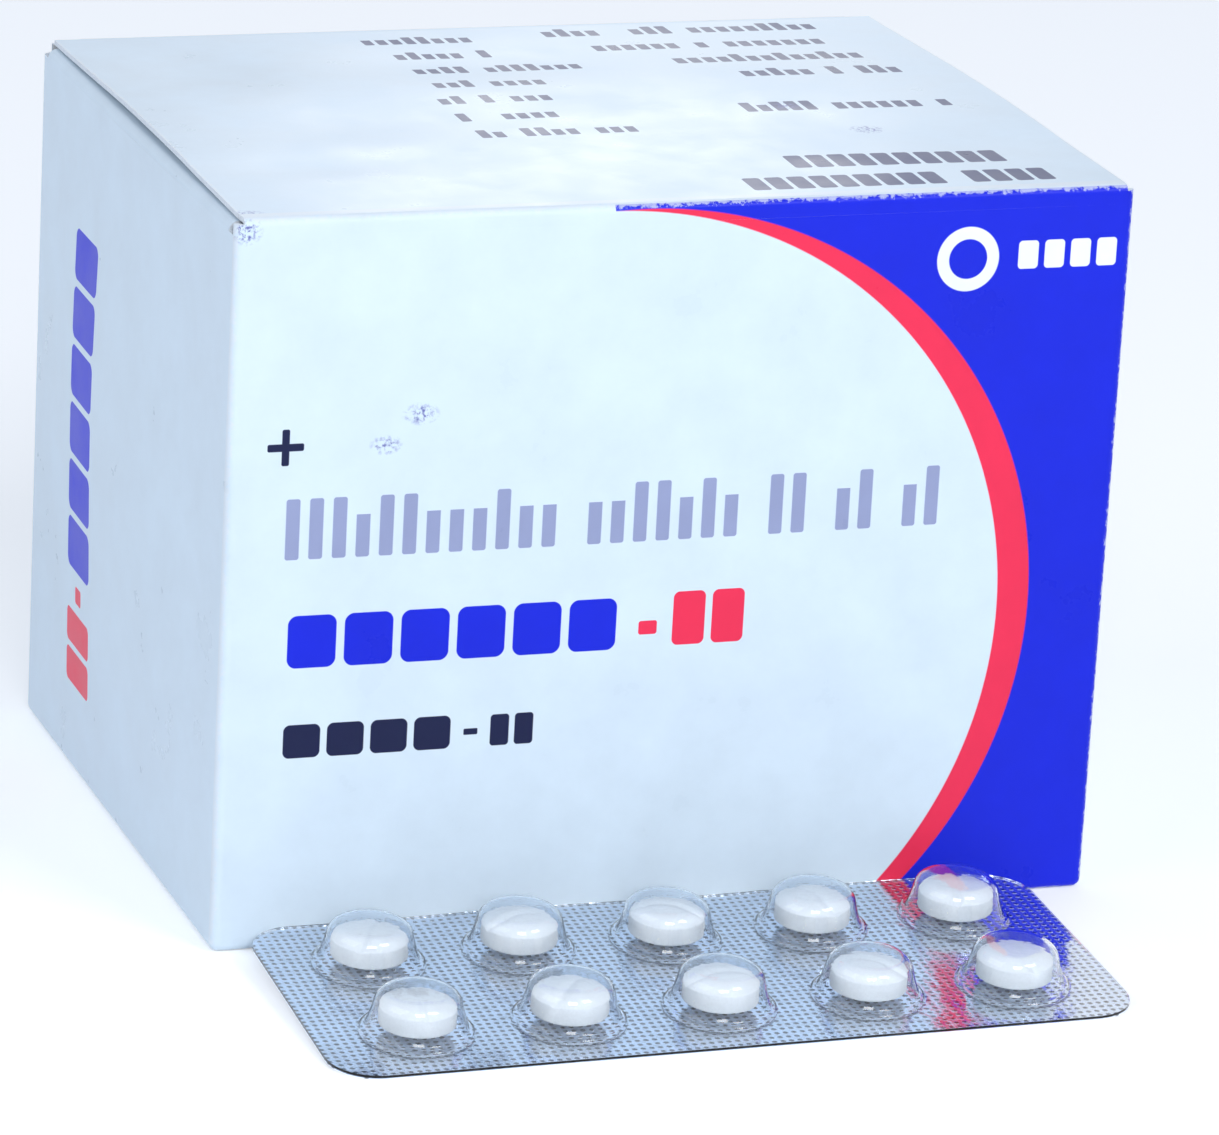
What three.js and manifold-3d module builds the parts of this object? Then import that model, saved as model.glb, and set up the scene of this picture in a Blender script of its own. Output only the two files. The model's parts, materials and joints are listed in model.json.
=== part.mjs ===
// A tuck-top carton of blister strips, with one strip taken out and laid along its front.
// Millimetres, +Z up. The origin is the centre of the carton's underside and the front panel faces -Y.

import * as THREE from 'three';
import { mergeVertices } from 'three/addons/utils/BufferGeometryUtils.js';
import Module from 'manifold-3d';

const wasm = await Module();
wasm.setup();

// Tablet: a round biconvex tablet with a break line across its upper face.
const tabletDiameter = 7.8;
const tabletThickness = 4;
const tabletCrown = 0.85;
const breakLineWidth = 0.7;
const breakLineDepth = 0.28;
const breakLineTurn = 137.5;

// Blister strip: clear film with formed pockets, sealed to foil.
const columns = 5;
const rows = 2;
const columnPitch = 15.9;
const rowPitch = 16.4;
const stripLength = 85;
const stripWidth = 35;
const stripCorner = 5;
const filmThickness = 0.25;
const foilThickness = 0.1;
const sealGap = 0.05;
const tabletSeatGap = 0.05;
const pocketSideGap = 1.1;
const pocketHeadroom = 0.35;
const pocketDraft = 0.75;
const pocketShoulder = 1.5;
const pocketRim = 0.85;
const pocketRimHeight = 0.3;

// Stacks inside the carton.
const stacks = 2;
const stripsPerStack = 15;
const stripsTakenOut = 1;
const stackGap = 0.05;
const stackSway = 0.9;
const stackSpacing = 1;
const frontSlack = 0.8;
const endSlack = 5;
const headroom = 1.6;

// Carton board and folds.
const board = 0.5;
const foldRadius = 1;
const creaseRadius = 0.45;
const creaseGap = 0.25;
const lidGap = 0.3;
const lidInset = 0.8;
const lidCrown = 0.7;
const tuckDepth = 15;
const tuckShoulder = 3;
const tuckCorner = 7;
const tuckGap = 0.3;
const tuckClearance = 0.8;
const dustReach = 28;
const dustFrontTaper = 7;
const dustRearTaper = 3;
const dustFrontRelief = 2.5;
const dustRearGap = 0.7;
const glueFlapWidth = 14;
const glueFlapTaper = 8;
const bottomDustReach = 27;
const bottomFlapShort = 4;
const bottomSeamWidth = 0.4;

// Loose strip in front of the carton: its rear edge leans on the front panel.
const looseStripShift = -2.5;
const looseStripRise = 2;
const looseStripGap = 0.3;

// Sizes that follow from those above.
const tabletRadius = tabletDiameter / 2;
const pocketRadius = tabletRadius + pocketSideGap;
const pocketInside = sealGap + tabletSeatGap + tabletThickness + pocketHeadroom;
const pocketOutside = pocketInside + filmThickness;
const stripThickness = foilThickness + pocketOutside;
const stripPitch = stripThickness + stackGap;
const stackHeight = stripsPerStack * stripPitch;
const stacksDepth = stacks * stripWidth + (stacks - 1) * stackSpacing;
const tuckSag = tuckDepth ** 2 / (2 * stacksDepth);
const tuckRoom = tuckGap + board + tuckSag + tuckClearance;
const width = stripLength + 2 * (endSlack + board);
const depth = stacksDepth + frontSlack + tuckRoom + 2 * board;
const bottomThickness = 3 * board;
const height = bottomThickness + stackHeight + headroom + 2 * board + lidGap;
const front = -depth / 2;
const sideTop = height - board - lidGap;
const sleeveTop = sideTop - foldRadius;
const frontTop = height - 2 * creaseRadius - creaseGap;
const hingeY = front + creaseRadius;
const hingeZ = height - creaseRadius;
const lidRear = depth / 2 - board - tuckGap;
const lidSwing = lidRear - hingeY;
const tuckDrop = tuckDepth + foldRadius - creaseRadius;
const tuckLean = Math.asin(tuckDrop ** 2 / (2 * lidSwing * tuckDepth));
const dustRear = hingeY + lidSwing * Math.cos(tuckLean) - board - dustRearGap;
const looseTilt = Math.asin(looseStripRise / stripWidth);

const overlap = 0.1;
const quarter = Math.PI / 2;
const axisX = new THREE.Vector3(1, 0, 0);
const axisY = new THREE.Vector3(0, 1, 0);
const axisZ = new THREE.Vector3(0, 0, 1);

// A closed geometry as a solid: shared corners merged, flat triangles dropped, faces outward.
function solidOf(geometry) {
  const bare = new THREE.BufferGeometry();
  bare.setAttribute('position', geometry.getAttribute('position'));
  bare.setIndex(geometry.index);
  const merged = mergeVertices(bare, 1e-4);
  const points = merged.getAttribute('position');
  const corners = [0, 1, 2].map(() => new THREE.Vector3());
  const triangles = [];
  let volume = 0;
  for (let i = 0; i < merged.index.count; i += 3) {
    const [a, b, c] = [0, 1, 2].map((k) => merged.index.getX(i + k));
    if (a === b || b === c || c === a) continue;
    triangles.push([a, b, c]);
    [a, b, c].forEach((vertex, k) => corners[k].fromBufferAttribute(points, vertex));
    volume += corners[0].dot(corners[1].clone().cross(corners[2]));
  }
  const ordered = volume < 0 ? triangles.map(([a, b, c]) => [a, c, b]) : triangles;
  return new wasm.Manifold(new wasm.Mesh({
    numProp: 3,
    vertProperties: new Float32Array(points.array),
    triVerts: new Uint32Array(ordered.flat()),
  }));
}

function geometryOf(solid) {
  const mesh = solid.getMesh();
  const geometry = new THREE.BufferGeometry();
  geometry.setAttribute('position', new THREE.BufferAttribute(mesh.vertProperties, 3));
  geometry.setIndex(new THREE.BufferAttribute(mesh.triVerts, 1));
  geometry.computeVertexNormals();
  return geometry;
}

// A box between two corners.
function block(low, high) {
  const size = high.map((value, k) => value - low[k]);
  const middle = high.map((value, k) => (value + low[k]) / 2);
  return solidOf(new THREE.BoxGeometry(...size).translate(...middle));
}

// A flat outline raised along Z.
function raised(shape, thickness, segments = 3) {
  const options = { depth: thickness, bevelEnabled: false, curveSegments: segments };
  return new THREE.ExtrudeGeometry(shape, options);
}

// A section drawn in Y and Z, carried along X over the given length about a middle.
function alongX(shape, length, segments, middle = 0) {
  const turn = new THREE.Matrix4().makeBasis(axisY, axisZ, axisX);
  const bar = raised(shape, length, segments).applyMatrix4(turn);
  return solidOf(bar.translate(middle - length / 2, 0, 0));
}

// A section drawn in X and Z, carried along Y from one place to another.
function alongY(shape, from, to, segments) {
  const turn = new THREE.Matrix4().makeBasis(axisX, axisZ, axisY.clone().negate());
  return raised(shape, to - from, segments).applyMatrix4(turn).translate(0, to, 0);
}

function roundedRectangle(length, breadth, radius) {
  const x = length / 2 - radius;
  const y = breadth / 2 - radius;
  const outline = new THREE.Shape();
  outline.absarc(x, -y, radius, -quarter, 0);
  outline.absarc(x, y, radius, 0, quarter);
  outline.absarc(-x, y, radius, quarter, 2 * quarter);
  outline.absarc(-x, -y, radius, 2 * quarter, 3 * quarter);
  return outline;
}

// A quarter ring of board round a fold, from straight out to straight up.
function foldSection(centreAcross, centreUp) {
  const section = new THREE.Shape();
  section.absarc(centreAcross, centreUp, foldRadius, 0, quarter);
  section.absarc(centreAcross, centreUp, foldRadius - board, quarter, 0, true);
  return section;
}

// Pocket centres of one strip, about the strip's middle.
function pocketCentres() {
  const centres = [];
  for (let row = 0; row < rows; row += 1) {
    for (let column = 0; column < columns; column += 1) {
      const x = (column - (columns - 1) / 2) * columnPitch;
      const y = (row - (rows - 1) / 2) * rowPitch;
      centres.push([x, y]);
    }
  }
  return centres;
}

// Half profile of a formed pocket, from the crown down to its mouth, held off by the given wall.
function pocketProfile(wall, foot) {
  const top = pocketInside + wall;
  const side = pocketRadius - pocketDraft + wall;
  const points = [new THREE.Vector2(0, top)];
  for (const turn of [0.3, 0.62, 1]) {
    const angle = turn * quarter;
    const radius = side - pocketShoulder * (1 - Math.sin(angle));
    points.push(new THREE.Vector2(radius, top - pocketShoulder * (1 - Math.cos(angle))));
  }
  return points.concat(foot);
}

function turned(profile, segments) {
  return new THREE.LatheGeometry(profile, segments).rotateX(quarter);
}

// Film: a thin plate with ten formed pockets, open towards the foil.
function filmSolid(segments) {
  const rimTop = filmThickness + pocketRimHeight;
  const outerFoot = [
    new THREE.Vector2(pocketRadius + filmThickness, rimTop + pocketRimHeight),
    new THREE.Vector2(pocketRadius + pocketRim / 2, rimTop),
    new THREE.Vector2(pocketRadius + pocketRim, filmThickness),
    new THREE.Vector2(pocketRadius + pocketRim, 0),
    new THREE.Vector2(0, 0),
  ];
  const innerFoot = [
    new THREE.Vector2(pocketRadius, 0),
    new THREE.Vector2(pocketRadius, -1),
    new THREE.Vector2(0, -1),
  ];
  const outside = turned(pocketProfile(filmThickness, outerFoot), segments);
  const inside = turned(pocketProfile(0, innerFoot), segments);
  let film = solidOf(raised(roundedRectangle(stripLength, stripWidth, stripCorner), filmThickness));
  for (const [x, y] of pocketCentres()) {
    film = film.add(solidOf(outside.clone().translate(x, y, 0)));
    film = film.subtract(solidOf(inside.clone().translate(x, y, 0)));
  }
  return film;
}

// Tablet: two crowned faces on a straight band, with a V-shaped break line cut in the upper face.
function tabletSolid(turn) {
  const rings = [[0, 0], [0.55, 0.28], [0.86, 0.72], [1, 1]];
  const lower = rings.map(([r, z]) => new THREE.Vector2(r * tabletRadius, z * tabletCrown));
  const upper = lower.map((p) => new THREE.Vector2(p.x, tabletThickness - p.y)).reverse();
  const cutter = new THREE.Shape([
    new THREE.Vector2(0, tabletThickness - breakLineDepth),
    new THREE.Vector2(breakLineWidth, tabletThickness + breakLineDepth),
    new THREE.Vector2(-breakLineWidth, tabletThickness + breakLineDepth),
  ]);
  const line = alongY(cutter, -tabletDiameter, tabletDiameter).rotateZ(turn);
  return solidOf(turned(lower.concat(upper), 14)).subtract(solidOf(line));
}

// Packed strip: film, tablets and foil as one sealed piece, with plain six-sided pockets.
function packedStripSolid() {
  const sheet = foilThickness + filmThickness;
  const rise = stripThickness - sheet + overlap;
  const crown = pocketRadius - pocketShoulder + filmThickness;
  let strip = solidOf(raised(roundedRectangle(stripLength, stripWidth, stripCorner), sheet, 1));
  for (const [x, y] of pocketCentres()) {
    const pocket = new THREE.CylinderGeometry(crown, pocketRadius + filmThickness, rise, 6);
    pocket.rotateX(quarter).translate(x, y, sheet - overlap + rise / 2);
    strip = strip.add(solidOf(pocket));
  }
  return strip;
}

// Dust flap on the +X side: it turns in from the side panel's top and narrows to its free end.
function dustFlapGeometries() {
  const root = width / 2 - foldRadius;
  const nearY = front + dustFrontRelief;
  const outline = new THREE.Shape([
    new THREE.Vector2(root, nearY),
    new THREE.Vector2(root, dustRear),
    new THREE.Vector2(root - dustReach, dustRear - dustRearTaper),
    new THREE.Vector2(root - dustReach, nearY + dustFrontTaper),
  ]);
  const panel = raised(outline, board).translate(0, 0, sideTop - board);
  const fold = alongY(foldSection(root, sideTop - foldRadius), nearY, dustRear, 4);
  return [panel, fold];
}

function mirrored(geometry) {
  return geometry.clone().scale(-1, 1, 1);
}

// Carton: the sleeve, its glued bottom and glue flap, and the two top dust flaps, folded as one.
function cartonSolid() {
  const outer = raised(roundedRectangle(width, depth, foldRadius), sleeveTop);
  const innerOutline = roundedRectangle(width - 2 * board, depth - 2 * board, foldRadius - board);
  const inner = raised(innerOutline, sleeveTop + 2).translate(0, 0, -1);
  const straight = width / 2 - foldRadius;
  const wall = sleeveTop - overlap;
  const inside = width / 2 - board;
  const glueRear = depth / 2 - foldRadius;
  let carton = solidOf(outer).subtract(solidOf(inner));
  carton = carton.add(block([-straight, front, wall], [straight, front + board, frontTop]));
  carton = carton.add(block([-straight, -front - board, wall], [straight, -front, sideTop]));
  carton = carton.add(block(
    [-inside - overlap, front + board - overlap, 0],
    [inside + overlap, overlap - front - board, 2 * board],
  ));
  for (const side of [-1, 1]) {
    const ends = [side * (inside + overlap), side * (inside - bottomDustReach)];
    carton = carton.add(block(
      [Math.min(...ends), front + 2 * foldRadius, 2 * board - overlap],
      [Math.max(...ends), -front - 2 * foldRadius, bottomThickness],
    ));
  }
  const glueFlap = new THREE.Shape([
    new THREE.Vector2(glueRear, bottomThickness + foldRadius),
    new THREE.Vector2(glueRear, sleeveTop - foldRadius),
    new THREE.Vector2(glueRear - glueFlapWidth, sleeveTop - foldRadius - glueFlapTaper),
    new THREE.Vector2(glueRear - glueFlapWidth, bottomThickness + foldRadius + glueFlapTaper),
  ]);
  carton = carton.add(alongX(glueFlap, board + overlap, 1, inside - (board - overlap) / 2));
  for (const flap of dustFlapGeometries()) {
    carton = carton.add(solidOf(flap)).add(solidOf(mirrored(flap)));
  }
  return roundedUnderside(carton);
}

// The folds round the underside, and the seam where the outer bottom flap ends.
function roundedUnderside(carton) {
  const reach = 2 * Math.max(width, depth);
  const across = new THREE.Shape();
  across.absarc(front + foldRadius, foldRadius, foldRadius, 2 * quarter, 3 * quarter);
  across.absarc(-front - foldRadius, foldRadius, foldRadius, -quarter, 0);
  across.lineTo(-front, 2 * height);
  across.lineTo(front, 2 * height);
  const along = new THREE.Shape();
  along.absarc(-width / 2 + foldRadius, foldRadius, foldRadius, 2 * quarter, 3 * quarter);
  along.absarc(width / 2 - foldRadius, foldRadius, foldRadius, -quarter, 0);
  along.lineTo(width / 2, 2 * height);
  along.lineTo(-width / 2, 2 * height);
  const seamY = -front - bottomFlapShort;
  const seamX = width / 2 - 2 * foldRadius;
  return carton
    .intersect(alongX(across, reach))
    .intersect(solidOf(alongY(along, -reach / 2, reach / 2)))
    .subtract(block([-seamX, seamY, -board], [seamX, seamY + bottomSeamWidth, board]));
}

// Lid section in Y and Z: the creased front edge, the crowned panel, the rear fold, the tuck flap.
function lidSection() {
  const foldCentre = lidRear - foldRadius;
  const foldUp = height - foldRadius;
  const middle = (hingeY + foldCentre) / 2;
  const beadEnd = 4 * quarter - Math.asin((board - creaseRadius) / creaseRadius);
  const out = [Math.cos(tuckLean), -Math.sin(tuckLean)];
  const tuckEnd = (radius) => [
    foldCentre + radius * out[0] + tuckDepth * out[1],
    foldUp + radius * out[1] - tuckDepth * out[0],
  ];
  const section = new THREE.Shape();
  section.absarc(hingeY, hingeZ, creaseRadius, quarter, beadEnd);
  section.quadraticCurveTo(middle, height - board + 2 * lidCrown, foldCentre, height - board);
  section.absarc(foldCentre, foldUp, foldRadius - board, quarter, -tuckLean, true);
  section.lineTo(...tuckEnd(foldRadius - board));
  section.lineTo(...tuckEnd(foldRadius));
  section.absarc(foldCentre, foldUp, foldRadius, -tuckLean, quarter);
  section.quadraticCurveTo(middle, height + 2 * lidCrown, hingeY, height);
  return section;
}

// What is cut away beside the tuck flap on the +X side, from a place in Y to past the lid.
function tuckWaste(from, top) {
  const tuckHalf = width / 2 - lidInset - tuckShoulder;
  const low = height - 2 * tuckDepth;
  const cornerZ = hingeZ - tuckDrop + tuckCorner;
  const waste = new THREE.Shape();
  waste.moveTo(tuckHalf, top);
  waste.lineTo(tuckHalf, cornerZ);
  waste.absarc(tuckHalf - tuckCorner, cornerZ, tuckCorner, 0, -quarter, true);
  waste.lineTo(tuckHalf - tuckCorner, low);
  waste.lineTo(width, low);
  waste.lineTo(width, top);
  return alongY(waste, from, depth, 5);
}

// Lid: its section carried across, with shoulders at the rear fold and round corners on the tuck.
function lidSolid() {
  const foldCentre = lidRear - foldRadius;
  const shoulder = tuckWaste(foldCentre, 2 * height);
  const below = tuckWaste(foldCentre - 2 * tuckSag, height - foldRadius);
  let lid = alongX(lidSection(), width - 2 * lidInset, 6);
  for (const cutter of [shoulder, below]) {
    lid = lid.subtract(solidOf(cutter)).subtract(solidOf(mirrored(cutter)));
  }
  return lid;
}

const finishes = {
  card: { color: 0xdeeeff, roughness: 0.5, metalness: 0 },
  film: { color: 0xe8f0fa, roughness: 0.08, metalness: 0, transparent: true, opacity: 0.3 },
  foil: { color: 0xb4b9c2, roughness: 0.25, metalness: 1 },
  tablet: { color: 0xf2f8fb, roughness: 0.6, metalness: 0 },
  strip: { color: 0xcdd6e2, roughness: 0.3, metalness: 0.3 },
};

function part(name, geometry, finish) {
  const mesh = new THREE.Mesh(geometry, new THREE.MeshStandardMaterial(finishes[finish]));
  mesh.name = name;
  return mesh;
}

function numbered(stem, number) {
  return `${stem}_${String(number).padStart(2, '0')}`;
}

// Two stacks of flat strips, front and rear. The strip that lies outside came off the front one.
function packedStrips() {
  const geometry = geometryOf(packedStripSolid());
  const strips = [];
  for (let stack = 0; stack < stacks; stack += 1) {
    const count = stripsPerStack - (stack === 0 ? stripsTakenOut : 0);
    const y = front + board + frontSlack + stripWidth / 2 + stack * (stripWidth + stackSpacing);
    for (let level = 0; level < count; level += 1) {
      const strip = part(numbered('strip', strips.length + 1), geometry, 'strip');
      const sway = stackSway * Math.sin(2.4 * level + stack);
      strip.position.set(sway, y, bottomThickness + level * stripPitch);
      strips.push(strip);
    }
  }
  return strips;
}

// The strip outside, in its own frame: the foil's underside is its floor, its front edge at Y 0.
function looseStrip() {
  const strip = new THREE.Group();
  const middle = stripWidth / 2;
  const filmZ = foilThickness + sealGap;
  const foilOutline = roundedRectangle(stripLength, stripWidth, stripCorner);
  const foil = part('loose_strip_foil', geometryOf(solidOf(raised(foilOutline, foilThickness))), 'foil');
  const film = part('loose_strip_film', geometryOf(filmSolid(12)), 'film');
  foil.position.set(0, middle, 0);
  film.position.set(0, middle, filmZ);
  strip.add(foil, film);
  pocketCentres().forEach(([x, y], index) => {
    const turn = THREE.MathUtils.degToRad(breakLineTurn * index);
    const tablet = part(numbered('tablet', index + 1), geometryOf(tabletSolid(turn)), 'tablet');
    tablet.position.set(x, middle + y, filmZ + tabletSeatGap);
    strip.add(tablet);
  });
  strip.rotation.x = looseTilt;
  const reach = stripWidth * Math.cos(looseTilt);
  strip.position.set(looseStripShift, front - looseStripGap - reach, 0);
  return strip;
}

const model = new THREE.Group();
model.add(part('carton_body', geometryOf(cartonSolid()), 'card'));
model.add(part('carton_lid', geometryOf(lidSolid()), 'card'));
model.add(...packedStrips());
model.add(looseStrip());

export default model;
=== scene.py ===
import json
import math

import bpy
import numpy as np
from mathutils import Matrix, Vector

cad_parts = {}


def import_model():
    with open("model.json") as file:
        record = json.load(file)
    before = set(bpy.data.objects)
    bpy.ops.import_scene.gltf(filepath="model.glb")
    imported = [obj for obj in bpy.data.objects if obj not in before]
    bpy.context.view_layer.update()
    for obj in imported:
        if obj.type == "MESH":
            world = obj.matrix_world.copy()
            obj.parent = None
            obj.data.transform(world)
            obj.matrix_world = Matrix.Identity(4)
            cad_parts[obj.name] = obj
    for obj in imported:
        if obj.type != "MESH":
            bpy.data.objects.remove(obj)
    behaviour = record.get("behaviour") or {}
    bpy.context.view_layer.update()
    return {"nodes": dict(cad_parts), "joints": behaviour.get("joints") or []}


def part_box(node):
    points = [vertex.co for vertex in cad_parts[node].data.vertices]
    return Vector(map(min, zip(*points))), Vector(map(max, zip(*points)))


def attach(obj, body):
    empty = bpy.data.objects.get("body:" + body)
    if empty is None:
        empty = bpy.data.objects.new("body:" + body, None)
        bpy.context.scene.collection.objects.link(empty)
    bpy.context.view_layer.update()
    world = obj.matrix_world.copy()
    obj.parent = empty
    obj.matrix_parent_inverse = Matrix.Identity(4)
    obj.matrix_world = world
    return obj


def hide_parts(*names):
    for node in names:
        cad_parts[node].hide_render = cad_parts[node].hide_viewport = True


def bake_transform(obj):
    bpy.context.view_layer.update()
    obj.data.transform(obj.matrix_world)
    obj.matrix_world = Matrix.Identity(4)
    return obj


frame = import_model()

# Studio: a pale paper floor, even daylight, two window lamps at the front and weak ones at the left and
# behind. A long lens stands to the left of the carton and above it, as in the photograph.
MM = 0.001
PHOTO_WIDTH_PX = 1219
FOCAL_LENGTH_PX = 6600
SENSOR_MM = 36.0
CAMERA_AZIMUTH = -20.0
CAMERA_ELEVATION = 18.0
CAMERA_ROLL = 3.1
CAMERA_DISTANCE = 0.700
CAMERA_TARGET = (0.0022, -0.012, 0.0300)
FLOOR_SIZE = 3.0
FLOOR_COLOUR = "#F4F6F8"
FLOOR_GLOW = 0.3
DAYLIGHT = "#DDE9FB"
DAYLIGHT_STRENGTH = 0.5
BACKGROUND = "#FFFFFF"
CARTON_MIDDLE = (0, 0, 0.03)
LID_MIDDLE = (0, 0, 0.077)
LAMPS = [  # name, place and target in metres, side in metres, watts
    ("right_window", (0.45, -0.90, 0.80), CARTON_MIDDLE, 0.4, 4.1),
    ("left_window", (-0.22, -1.00, 0.50), CARTON_MIDDLE, 0.4, 4.1),
    ("side_fill", (-0.8, -0.2, 0.6), CARTON_MIDDLE, 0.8, 1.9),
    ("rear_window", (0.39, 1.07, 0.48), LID_MIDDLE, 0.16, 0.55),
]


def linear(hex_colour):
    """Linear RGBA from an sRGB hex colour: v/12.92 below 0.04045, else ((v + 0.055)/1.055)^2.4."""
    channels = [int(hex_colour[i:i + 2], 16) / 255 for i in (1, 3, 5)]
    light = [v / 12.92 if v <= 0.04045 else ((v + 0.055) / 1.055) ** 2.4 for v in channels]
    return (*light, 1)


def add(tree, kind, settings, *values, **named):
    """Adds a shader node; its inputs take nodes and sockets as links, and anything else as a value."""
    made = tree.nodes.new("ShaderNode" + kind)
    for name, value in settings.items():
        setattr(made, name, value)
    inputs = dict(enumerate(values)) | {name.replace("_", " "): v for name, v in named.items()}
    for key, value in inputs.items():
        if isinstance(value, bpy.types.Node):
            value = value.outputs[0]
        if isinstance(value, bpy.types.NodeSocket):
            tree.links.new(value, made.inputs[key])
        else:
            made.inputs[key].default_value = value
    return made


def new_material(name):
    """An empty node material and its tree."""
    made = bpy.data.materials.new(name)
    made.use_nodes = True
    made.node_tree.nodes.clear()
    return made, made.node_tree


def seen_directly(tree):
    """1 for rays that show the background: the camera's, and those that metal and film pass on."""
    path = add(tree, "LightPath", {})
    seen = add(tree, "Math", {"operation": "MAXIMUM"}, path.outputs["Is Camera Ray"],
               path.outputs["Is Transmission Ray"])
    return add(tree, "Math", {"operation": "MAXIMUM"}, seen, path.outputs["Is Glossy Ray"])


def aim_camera():
    """Places the camera on its sight line about the target, then turns it about that line."""
    a, e = math.radians(CAMERA_AZIMUTH), math.radians(CAMERA_ELEVATION)
    back = Vector((math.sin(a) * math.cos(e), -math.cos(a) * math.cos(e), math.sin(e)))
    data = bpy.data.cameras.new("camera")
    data.sensor_width = SENSOR_MM
    data.lens = SENSOR_MM * FOCAL_LENGTH_PX / PHOTO_WIDTH_PX
    camera = bpy.data.objects.new("camera", data)
    roll = Matrix.Rotation(math.radians(CAMERA_ROLL), 3, "Z")
    turn = (-back).to_track_quat("-Z", "Y").to_matrix() @ roll
    place = Matrix.Translation(Vector(CAMERA_TARGET) + back * CAMERA_DISTANCE)
    camera.matrix_world = place @ turn.to_4x4()
    bpy.context.scene.collection.objects.link(camera)
    bpy.context.scene.camera = camera


def lamp(name, place, target, size, watts):
    """A square area lamp that faces a target."""
    data = bpy.data.lights.new(name, "AREA")
    data.size = size
    data.energy = watts
    made = bpy.data.objects.new(name, data)
    towards = (Vector(target) - Vector(place)).to_track_quat("-Z", "Y")
    made.matrix_world = Matrix.Translation(place) @ towards.to_matrix().to_4x4()
    bpy.context.scene.collection.objects.link(made)


def daylight_world():
    """Even daylight for the object; the rays that show the background see plain white."""
    world = bpy.data.worlds.new("studio")
    world.use_nodes = True
    tree = world.node_tree
    tree.nodes.clear()
    light = add(tree, "Background", {}, Color=linear(DAYLIGHT), Strength=DAYLIGHT_STRENGTH)
    white = add(tree, "Background", {}, Color=linear(BACKGROUND), Strength=1.0)
    add(tree, "OutputWorld", {}, add(tree, "MixShader", {}, seen_directly(tree), light, white))
    bpy.context.scene.world = world


def lay_floor():
    """A pale sheet whose lit parts reach white where they are seen, and whose shadows stay."""
    half = FLOOR_SIZE / 2
    mesh = bpy.data.meshes.new("floor")
    corners = [(-half, -half, 0), (half, -half, 0), (half, half, 0), (-half, half, 0)]
    mesh.from_pydata(corners, [], [(0, 1, 2, 3)])
    floor = bpy.data.objects.new("floor", mesh)
    bpy.context.scene.collection.objects.link(floor)
    material, tree = new_material("studio_paper")
    lift = add(tree, "Math", {"operation": "MULTIPLY"}, seen_directly(tree), FLOOR_GLOW)
    paper = add(tree, "BsdfDiffuse", {}, Color=linear(FLOOR_COLOUR))
    glow = add(tree, "Emission", {}, Color=linear(BACKGROUND), Strength=lift)
    add(tree, "OutputMaterial", {}, add(tree, "AddShader", {}, paper, glow))
    mesh.materials.append(material)


aim_camera()
daylight_world()
lay_floor()
for lamp_values in LAMPS:
    lamp(*lamp_values)
bpy.context.scene.view_settings.view_transform = "Standard"

# Carton: one sheet of coated folding board, printed, cut and creased, then folded into a sleeve with a
# glued side seam, a glued bottom and two top dust flaps. Satin white outside, plain board inside.
BOARD = 0.5
FOLD_RADIUS = 1.0
CREASE_REACH = 2.0
CREASE_RADIUS = 0.45
DUST_REACH = 28.0
DUST_FRONT_RELIEF = 2.5
DUST_REAR_RELIEF = 2.44
DUST_FRONT_TAPER = 7.0
DUST_REAR_TAPER = 3.0
DUST_SAG = 0.35
GLUE_FLAP_WIDTH = 14.0
GLUE_FLAP_TAPER = 8.0
BOTTOM_DUST_REACH = 27.0
BOTTOM_FLAP_SHORT = 4.0
BOTTOM_GAP = 0.4
BOTTOM_DUST_SETBACK = 2.0
BOTTOM_DIP_POWER = 0.7
GLUE_GAP = 0.02
CORNER_GAP = 0.1
SIDE_BULGE = 0.8
FACE_BULGE = 0.35
BULGE_UP_POWER = 1.3
BULGE_ACROSS_POWER = 1.2
RIPPLE = 0.25
PANEL_STEPS = 73
CORNER_STEPS = 9
RISE_STEPS = 60
FOLD_STEPS = 6
DUST_FOLD_STEPS = 8
FLAP_STEPS = 25
SHORT_FLAP_STEPS = 9
BOTTOM_STEPS = 30
BOTTOM_DIP_STEPS = 12
SLOPE_STEP = 1e-3
SHORTEST_NORMAL = 1e-12
JOINS_PER_MM = 1e3
SMOOTH_GROUPS = {"outer": -1, "inner": -2, "foil": -3}
CARD_WHITE = "#DCECF9"
CARD_INSIDE = "#D9DEE2"
CARD_EDGE = "#E6EDF4"
PRINT_BLUE = "#1C2CDA"
PRINT_RED = "#F6375A"
PRINT_VIOLET = "#9AA3C8"
PRINT_NAVY = "#20264A"
PRINT_WHITE = "#F4FAFF"
INK_SMUDGE = "#6E74B4"
SIDE_TYPE_Y = 16.0
ARC = math.pi / 2

body_low, body_high = (np.array(corner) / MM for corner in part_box("carton_body"))
hinge = np.array(frame["joints"][0]["pos_m"]) / MM
WIDTH = body_high[0] - body_low[0]
DEPTH = body_high[1] - body_low[1]
FRONT = body_low[1]
REAR = body_high[1]
SIDE_TOP = body_high[2]
HEIGHT = hinge[2] + CREASE_RADIUS
SLEEVE_TOP = SIDE_TOP - FOLD_RADIUS
CREASE_START = HEIGHT - CREASE_REACH
CORNER_TOP = HEIGHT - BOARD - CORNER_GAP
PANEL_LENGTHS = [WIDTH - 2 * FOLD_RADIUS, DEPTH - 2 * FOLD_RADIUS] * 2


def skin(across, along, shape):
    """Points of shape(a, b) on a grid, with outward normals: the cross product of its two slopes."""
    a, b = np.meshgrid(across, along)
    slope_a = shape(a + SLOPE_STEP, b) - shape(a - SLOPE_STEP, b)
    slope_b = shape(a, b + SLOPE_STEP) - shape(a, b - SLOPE_STEP)
    normal = np.cross(slope_a, slope_b)
    length = np.linalg.norm(normal, axis=2, keepdims=True)
    return shape(a, b), normal / np.maximum(length, SHORTEST_NORMAL)


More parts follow.
